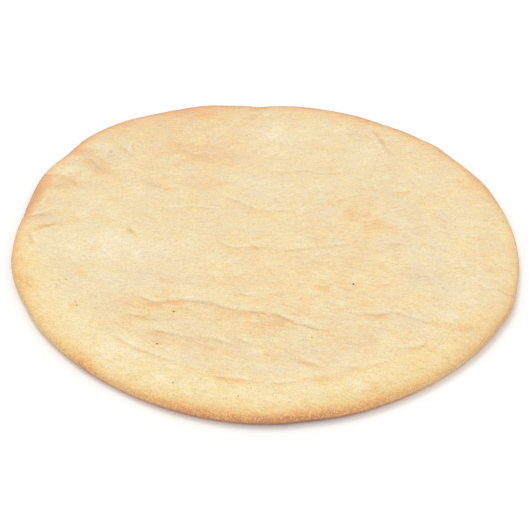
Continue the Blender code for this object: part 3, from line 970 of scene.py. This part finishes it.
def shader_group(name, inputs, outputs):
    """A node group for a finish, whose outputs are numbers."""
    return new_group(name, "ShaderNodeTree", inputs, dict.fromkeys(outputs, FLOAT))


def place_group(tree, group, **inputs):
    """Puts a group in a tree and gives back its outputs, or the only one."""
    outputs = tree.add("ShaderNodeGroup", {"node_tree": group}, **inputs).outputs
    return outputs[0] if len(outputs) == 1 else tuple(outputs)


# ------ Fine relief of the skin, as a node tree on the mesh ------
SKIN_RELIEF = {
    "Wrinkle length": 0.034,
    "Wrinkle width": 0.0095,
    "Wrinkle height": 0.00120,
    "Crinkle length": 0.0120,
    "Crinkle width": 0.0042,
    "Crinkle height": 0.00045,
    "Blister size": 0.011,
    "Blister height": 0.00036,
    "Grain size": 0.0030,
    "Grain height": 0.00018,
    "Slack size": 0.055,
    "Slack least": 0.40,
    "Rim share": 0.25,
    "Seed": 3.0,
}


def skin_relief_tree():
    """Wrinkles drawn out sideways, soft blisters and grain, raised along the normals."""
    tree, given, result = geometry_group("skin relief", SKIN_RELIEF)
    places = tree.add("GeometryNodeInputPosition").outputs[0]
    folded = tree.plus(
        tree.layer(given, places, "Wrinkle"),
        tree.layer(given, places, "Crinkle", offset=7.3),
    )
    slack = tree.layer(given, places, "Slack", 1.0, offset=31.0)
    slack = tree.map_range(slack, -0.20, 0.12, given["Slack least"], 1.0)
    in_well = tree.map_range(tree.read("well"), 0.0, 1.0, given["Rim share"], 1.0)
    height = tree.sum(
        tree.times(folded, tree.times(in_well, slack)),
        tree.layer(given, places, "Blister", 1.0, offset=11.0),
        tree.layer(given, places, "Grain", 1.0, offset=23.0),
    )
    height = tree.times(height, tree.read("above foot"))
    kept = tree.add(
        "GeometryNodeStoreNamedAttribute",
        {"data_type": "FLOAT", "domain": "POINT"},
        Geometry=tree.raised(given["Geometry"], height).outputs[0],
        Name="fine relief",
        Value=tree.over(height, given["Wrinkle height"]),
    )
    tree.finish(kept.outputs[0], given, result)
    return tree.tree


def run_tree(mesh, name, tree, values):
    """A new object at the origin: the mesh as the tree makes it, made a plain mesh."""
    carrier = bpy.data.objects.new(name + " blank", mesh)
    bpy.context.scene.collection.objects.link(carrier)
    modifier = carrier.modifiers.new("tree", "NODES")
    modifier.node_group = tree
    for socket in tree.interface.items_tree:
        if socket.in_out == "INPUT" and socket.name in values:
            modifier[socket.identifier] = values[socket.name]
    evaluated = carrier.evaluated_get(bpy.context.evaluated_depsgraph_get())
    made = bpy.data.meshes.new_from_object(evaluated)
    made.name = name
    bpy.data.objects.remove(carrier)
    bpy.data.meshes.remove(mesh)
    piece = bpy.data.objects.new(name, made)
    bpy.context.scene.collection.objects.link(piece)
    return piece


# ------ Burnt flecks on the skin, as a node tree on their places ------
FLECK_FORM = {
    "Flatness": 0.6,
    "Lump size": 0.0007,
    "Lump height": 0.0005,
    "Seed": 1.0,
}
FLECK_RISE = 0.08  # how far a fleck's middle stands above the skin, for its width


def flecks_tree():
    """A small lumpy crumb at each place, as wide as its point says."""
    tree, given, result = geometry_group("burnt flecks", FLECK_FORM)
    crumb = tree.add("GeometryNodeMeshIcoSphere", Radius=0.5, Subdivisions=2)
    width = tree.read("width")
    thickness = tree.times(width, given["Flatness"])
    scale = tree.add("ShaderNodeCombineXYZ", X=width, Y=width, Z=thickness)
    placed = tree.add(
        "GeometryNodeInstanceOnPoints",
        Points=given["Geometry"],
        Instance=crumb.outputs["Mesh"],
        Scale=scale.outputs[0],
    )
    real = tree.add("GeometryNodeRealizeInstances", Geometry=placed.outputs[0])
    places = tree.add("GeometryNodeInputPosition").outputs[0]
    lumpy = tree.raised(real.outputs[0], tree.layer(given, places, "Lump", 1.0))
    tree.finish(lumpy.outputs[0], given, result)
    return tree.tree


def fleck_points(crust):
    """A mesh of bare points, one for each fleck, on the crust's skin."""
    skin = np.array([vertex.co for vertex in crust.data.vertices])
    skin = skin[skin[:, 2] > EDGE_HEIGHT]
    middle_x, middle_y = box_middle()
    flecks = np.array(FLECKS)
    widths = flecks[:, 2] * MM
    points = []
    for (x, y), width in zip(flecks[:, :2] * MM - (middle_x, middle_y), widths):
        nearest = np.argmin(np.hypot(skin[:, 0] - x, skin[:, 1] - y))
        points.append((x, y, skin[nearest, 2] + FLECK_RISE * width))
    mesh = bpy.data.meshes.new("fleck points")
    mesh.from_pydata(points, [], [])
    set_attribute(mesh, "width", widths)
    set_attribute(mesh, "charred", flecks[:, 3])
    return mesh


# ------ Finishes ------
UNEVEN_BAKING = {
    "Cloud size": 0.040,
    "Cloud strength": 0.24,
    "Blotch length": 0.0168,
    "Blotch width": 0.0105,
    "Blotch strength": 0.52,
    "Streak length": 0.0120,
    "Streak width": 0.0028,
    "Streak strength": 0.60,
    "Wisp length": 0.0052,
    "Wisp width": 0.0013,
    "Wisp strength": 0.58,
    "Dab size": 0.0013,
    "Dab strength": 0.52,
    "Calm size": 0.045,
    "Calm least": 0.40,
    "Calm most": 1.25,
    "Mottle length": 0.0090,
    "Mottle width": 0.0040,
    "Mottle least": 0.72,
    "Mottle most": 1.24,
    "Seed": 0.0,
}
FLOUR_FILM = {
    "Drift size": 0.020,
    "Drift strength": 0.9,
    "Smear length": 0.0120,
    "Smear width": 0.0055,
    "Smear strength": 0.7,
    "Seed": 0.0,
}
DOUGH_GRAIN = {
    "Crinkle length": 0.0060,
    "Crinkle width": 0.0022,
    "Grain size": 0.0011,
    "Pore size": 0.0010,
    "Seed": 0.0,
}
CREASE_LINES = {
    "Lip place": 0.0024,
    "Lip width": 0.0021,
    "Line place": -0.0009,
    "Line width": 0.0014,
    "Shade place": -0.0005,
    "Shade end": -0.0075,
    "Shade size": 0.014,
    "Waver size": 0.0040,
    "Waver strength": 0.0012,
    "Break size": 0.0085,
    "Seed": 0.0,
}
STIPPLE_SIZE = 0.0009  # grains of the browned edge
STIPPLE = (0.09, -0.24)  # the bake that they add between and on the palest grains
SCORCH_SIZE = 0.016  # scorch marks on the underside
SCORCH = (0.12, 0.46)  # the bake that they add, from the least to the most
EDGE_CALM = 0.35  # how much of the uneven baking still shows on the browned edge
EDGE_DARKER = 0.22  # how much darker than the top the browned edge may get
UNDER_DARKER = 0.3  # and the underside
PALE_ROUGHNESS = 0.86
BROWN_ROUGHNESS = 0.62
BUMP_DEPTH = 0.0008  # height of the skin's finest grain, at a full share
CRUMB_SIZE = 0.0005  # pale and dark crumbs within a burnt fleck
CRUMB_CONTRAST = 0.3


def baked_tone_group():
    """Colour of dough by its baking, the flour over it, and its dullness and painted shade."""
    inputs = {"Bake": PLAIN_BAKE, "Flour": PLAIN_FLOUR, "Dull": 0.0}
    tree, given, result = new_group("baked tone", "ShaderNodeTree", inputs, {"Color": COLOUR})
    ramp = tree.add("ShaderNodeValToRGB", Fac=given["Bake"])
    band = ramp.color_ramp
    while len(band.elements) < len(TONES):
        band.elements.new(0.5)
    for element, (share, screen) in zip(band.elements, TONES):
        element.position = share
        element.color = linear(screen)
    floured = tree.mix(given["Flour"], ramp.outputs["Color"], linear(FLOUR_TONE))
    tree.feed(result["Color"], tree.mix(given["Dull"], floured, linear(SHADE_AND_DULL_TONE), clamp=False))
    return tree.tree


def uneven_baking_group():
    """Uneven baking about zero: clouds, blotches and wavy streaks, and thin wisps and dabs."""
    inputs = {"Places": VECTOR, **UNEVEN_BAKING}
    tree, given, result = shader_group("uneven baking", inputs, ("Bake", "Fine", "Mottling"))
    places = given["Places"]
    cloud = tree.layer(given, places, "Cloud")
    blotch = tree.layer(given, places, "Blotch", 1.0, offset=3.0)
    streak = tree.layer(given, places, "Streak", 2.0, 0.6, 5.0)
    calm = tree.layer(given, places, "Calm", 1.0, offset=14.0)
    calm = tree.map_range(calm, -0.14, 0.14, given["Calm least"], given["Calm most"])
    marks = tree.times(tree.plus(blotch, streak), calm)
    wisp = tree.layer(given, places, "Wisp", 1.0, offset=7.0)
    dab = tree.layer(given, places, "Dab", 1.0, offset=9.0)
    mottle = tree.layer(given, places, "Mottle", 2.0, 0.6, 17.0)
    mottle = tree.map_range(mottle, -0.20, 0.20, given["Mottle least"], given["Mottle most"])
    tree.feed(result["Bake"], tree.plus(cloud, marks))
    tree.feed(result["Fine"], tree.plus(wisp, dab))
    tree.feed(result["Mottling"], mottle)
    return tree.tree


def flour_film_group():
    """How much flour lies over the skin: a film that is thick in places and worn in others."""
    inputs = {"Places": VECTOR, "Plain": PLAIN_FLOUR, **FLOUR_FILM}
    tree, given, result = shader_group("flour film", inputs, ("Flour",))
    drift = tree.layer(given, given["Places"], "Drift")
    smear = tree.layer(given, given["Places"], "Smear", 2.0, 0.6, 4.0)
    tree.feed(result["Flour"], tree.sum(given["Plain"], drift, smear))
    return tree.tree


def dough_grain_group():
    """Height of the skin's fine crinkles, grain and pores; pores and hollows for painted shade."""
    inputs = {"Places": VECTOR, **DOUGH_GRAIN}
    tree, given, result = shader_group("dough grain", inputs, ("Height", "Pore", "Hollow shade"))
    places = given["Places"]
    crinkle = tree.layer(given, places, "Crinkle", 2.0, 0.6, 1.0)
    grain = tree.layer(given, places, "Grain", 2.0, 0.6, 2.0)
    pore = tree.map_range(tree.layer(given, places, "Pore", 1.0, 0.6, 6.0), -0.06, 0.24)
    tree.feed(result["Height"], tree.weighed((crinkle, 0.8), (grain, 1.3), (pore, -0.15)))
    tree.feed(result["Pore"], pore)
    # Where the crinkles and grain lie low: a mask for painted shade.
    tree.feed(result["Hollow shade"], tree.map_range(tree.plus(crinkle, grain), 0.02, -0.26))
    return tree.tree


def crease_lines_group():
    """Painted light and shade at a crease: highlight on the lip, dark line in it, shade below."""
    inputs = {"Places": VECTOR, "Beside": CREASE_REACH, "Strength": 0.0, **CREASE_LINES}
    tree, given, result = shader_group("crease lines", inputs, ("Lip", "Line", "Shade"))
    places = given["Places"]
    beside = tree.plus(given["Beside"], tree.layer(given, places, "Waver", 2.0, 0.6))
    broken = tree.layer(given, places, "Break", offset=2.0)
    uneven = tree.layer(given, places, "Shade", 1.0, offset=5.0)
    lip_shows = tree.map_range(broken, -0.22, 0.04, 0.3)
    line_shows = tree.map_range(broken, 0.24, -0.04, 0.3)
    shade_shows = tree.map_range(uneven, -0.2, 0.2, 0.4, 1.0)
    below = tree.map_range(beside, 0.0006, -0.0014)
    fading = tree.map_range(beside, given["Shade end"], given["Shade place"])
    lit_lip = tree.times(tree.bell(beside, given["Lip place"], given["Lip width"]), lip_shows)
    line = tree.times(tree.bell(beside, given["Line place"], given["Line width"]), line_shows)
    shade = tree.times(tree.times(below, fading), shade_shows)
    for name, value in (("Lip", lit_lip), ("Line", line), ("Shade", shade)):
        tree.feed(result[name], tree.times(value, given["Strength"]))
    return tree.tree


def new_material(name, specular=0.25):
    """A new material with its tree and its shader."""
    material = bpy.data.materials.new(name)
    material.use_nodes = True
    shader = material.node_tree.nodes["Principled BSDF"]
    shader.inputs["Specular IOR Level"].default_value = specular
    return material, Tree(material.node_tree), shader


def baked_skin(groups):
    """Baked skin: floury cream over the top, toasted patches, soft creases, a browned edge."""
    material, tree, shader = new_material("baked skin")
    read = tree.read
    places = tree.add("ShaderNodeTexCoord").outputs["Object"]
    browned, under, floured, toast_and_shade = map(read, ("browned", "under", "floured", "toast_and_shade"))
    lit_lip, line, shade = place_group(
        tree,
        groups["crease lines"],
        Places=places,
        Beside=read("beside crease"),
        Strength=read("crease"),
        Seed=12.0,
    )
    grain, pore, hollow = place_group(tree, groups["dough grain"], Places=places, Seed=5.0)
    uneven, fine, mottling = place_group(tree, groups["uneven baking"], Places=places, Seed=2.0)

    grains = tree.noise(places, STIPPLE_SIZE, 1.0, 0.5, 4.0)
    grains = tree.map_range(grains, -0.02, 0.20, *STIPPLE)
    scorch = tree.noise(places, SCORCH_SIZE, 3.0, 0.6, 21.0)
    scorch = tree.map_range(scorch, -0.02, 0.16, *SCORCH)
    above = tree.minus(1.0, under)
    calmer = tree.map_range(browned, 0.0, 0.8, 1.0, EDGE_CALM)
    fine = tree.times(fine, calmer)
    # Painted shade adds bake in low relief and below creases; lit lips take some off as highlight.
    bake = tree.sum(
        PLAIN_BAKE,
        read("edge bake"),
        tree.times(toast_and_shade, mottling),
        tree.times(uneven, calmer),
        tree.times(scorch, under),
        tree.times(grains, tree.times(browned, above)),
        tree.times(tree.minus(1.0, floured), BARE_RIM_BAKE),
        tree.weighed((fine, 0.50), (read("fine relief"), -0.08), (shade, 0.16), (lit_lip, -0.31)),
    )
    darker = tree.weighed((browned, EDGE_DARKER), (under, UNDER_DARKER))
    bake = tree.math("MINIMUM", bake, tree.plus(TOP_DARKEST, darker))
    flour = place_group(
        tree,
        groups["flour film"],
        Places=places,
        Plain=tree.times(floured, PLAIN_FLOUR),
        Seed=7.0,
    )
    flour = tree.sum(flour, read("flour"), tree.times(toast_and_shade, TOASTED_FLOUR))
    flour = tree.times(tree.math("MAXIMUM", flour, 0.0), tree.minus(1.0, browned))
    # Dulled by random fine tone and by painted shade in creases, pores and hollows of the grain.
    marks = tree.weighed(
        (fine, 0.38), (shade, 0.15), (line, 0.26), (lit_lip, -0.06), (pore, 0.24), (hollow, 0.20)
    )
    shade_and_dull = tree.plus(read("dulled"), marks)
    tone = place_group(tree, groups["baked tone"], Bake=bake, Flour=flour, Dull=shade_and_dull)
    # The singed outermost line, and painted shade at the wall's foot.
    tone = tree.mix(read("singed_and_shaded"), tone, linear(SINGED_AND_SHADE_TONE))
    tree.feed(shader.inputs["Base Color"], tone)
    roughness = tree.map_range(bake, 0.3, 0.9, PALE_ROUGHNESS, BROWN_ROUGHNESS)
    tree.feed(shader.inputs["Roughness"], roughness)
    height = tree.plus(grain, tree.weighed((lit_lip, 0.3), (line, -0.2)))
    bump = tree.add("ShaderNodeBump", Height=height)
    bump.inputs["Distance"].default_value = BUMP_DEPTH
    bump.inputs["Strength"].default_value = 1.0
    tree.feed(shader.inputs["Normal"], bump.outputs["Normal"])
    material.diffuse_color = linear(PLAIN_TONE)
    return material


def burnt_fleck():
    """Toasted to charred crumb: red-brown to nearly black, matt."""
    material, tree, shader = new_material("burnt fleck")
    places = tree.add("ShaderNodeTexCoord").outputs["Object"]
    uneven = tree.times(tree.noise(places, CRUMB_SIZE, 1.0, 0.5, 3.0), CRUMB_CONTRAST)
    share = tree.math("ADD", tree.read("charred"), uneven, clamp=True)
    tone = tree.mix(share, linear(TOASTED_FLECK), linear(CHARRED_FLECK))
    tree.feed(shader.inputs["Base Color"], tone)
    shader.inputs["Roughness"].default_value = 0.8
    return material


# ------ The crust ------
def make_crust(groups):
    values = {**SKIN_RELIEF, "Finish": baked_skin(groups)}
    crust = run_tree(crust_mesh(), "crust_skin", skin_relief_tree(), values)
    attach(crust, "root")
    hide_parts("crust")
    return crust


def make_flecks(crust):
    values = {**FLECK_FORM, "Finish": burnt_fleck()}
    flecks = run_tree(fleck_points(crust), "burnt_flecks", flecks_tree(), values)
    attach(flecks, "root")


# ------ Studio: floor, light and camera ------
CAMERA_LENS = 85.0
CAMERA_SENSOR = 36.0
CAMERA_ELEVATION = math.radians(38.70)
CAMERA_DISTANCE = 0.9892
CAMERA_AIM = (0.00184, -0.02956)  # from the round's middle

FLOOR_SIDE = 8.0
FLOOR_WHITE = (0.95, 0.95, 0.95, 1.0)
SKY_STRENGTH = 0.915
KEY_STRENGTH = 0.70
KEY_ANGLE = math.radians(24.0)
KEY_AZIMUTH = math.radians(118.0)  # bearing of the lamp, behind and to the left
KEY_ELEVATION = math.radians(58.0)


def make_floor():
    bpy.ops.mesh.primitive_plane_add(size=FLOOR_SIDE, location=(0.0, 0.0, 0.0))
    floor = bpy.context.object
    floor.name = "floor"
    material, _, shader = new_material("pale floor", 0.1)
    shader.inputs["Base Color"].default_value = FLOOR_WHITE
    shader.inputs["Roughness"].default_value = 0.9
    floor.data.materials.append(material)


def make_light():
    world = bpy.data.worlds.new("soft sky")
    world.use_nodes = True
    sky = world.node_tree.nodes["Background"].inputs
    sky["Color"].default_value = (1.0, 1.0, 1.0, 1.0)
    sky["Strength"].default_value = SKY_STRENGTH
    bpy.context.scene.world = world
    lamp = bpy.data.lights.new("key", "SUN")
    lamp.energy = KEY_STRENGTH
    lamp.angle = KEY_ANGLE
    key = bpy.data.objects.new("key", lamp)
    bpy.context.scene.collection.objects.link(key)
    across = math.cos(KEY_ELEVATION)
    toward = Vector(
        (math.cos(KEY_AZIMUTH) * across, math.sin(KEY_AZIMUTH) * across, math.sin(KEY_ELEVATION))
    )
    key.location = toward * 2.0
    key.rotation_euler = toward.to_track_quat("Z", "Y").to_euler()


def make_camera():
    lens = bpy.data.cameras.new("camera")
    lens.lens = CAMERA_LENS
    lens.sensor_width = CAMERA_SENSOR
    camera = bpy.data.objects.new("camera", lens)
    bpy.context.scene.collection.objects.link(camera)
    middle_x, middle_y = box_middle()
    aim = Vector((CAMERA_AIM[0] - middle_x, CAMERA_AIM[1] - middle_y, 0.0))
    back = Vector((0.0, -math.cos(CAMERA_ELEVATION), math.sin(CAMERA_ELEVATION)))
    camera.location = aim + back * CAMERA_DISTANCE
    camera.rotation_euler = back.to_track_quat("Z", "Y").to_euler()
    bpy.context.scene.camera = camera


def main():
    bpy.context.scene.view_settings.view_transform = "Standard"
    groups = {
        "baked tone": baked_tone_group(),
        "uneven baking": uneven_baking_group(),
        "flour film": flour_film_group(),
        "dough grain": dough_grain_group(),
        "crease lines": crease_lines_group(),
    }
    crust = make_crust(groups)
    make_flecks(crust)
    make_floor()
    make_light()
    make_camera()


main()
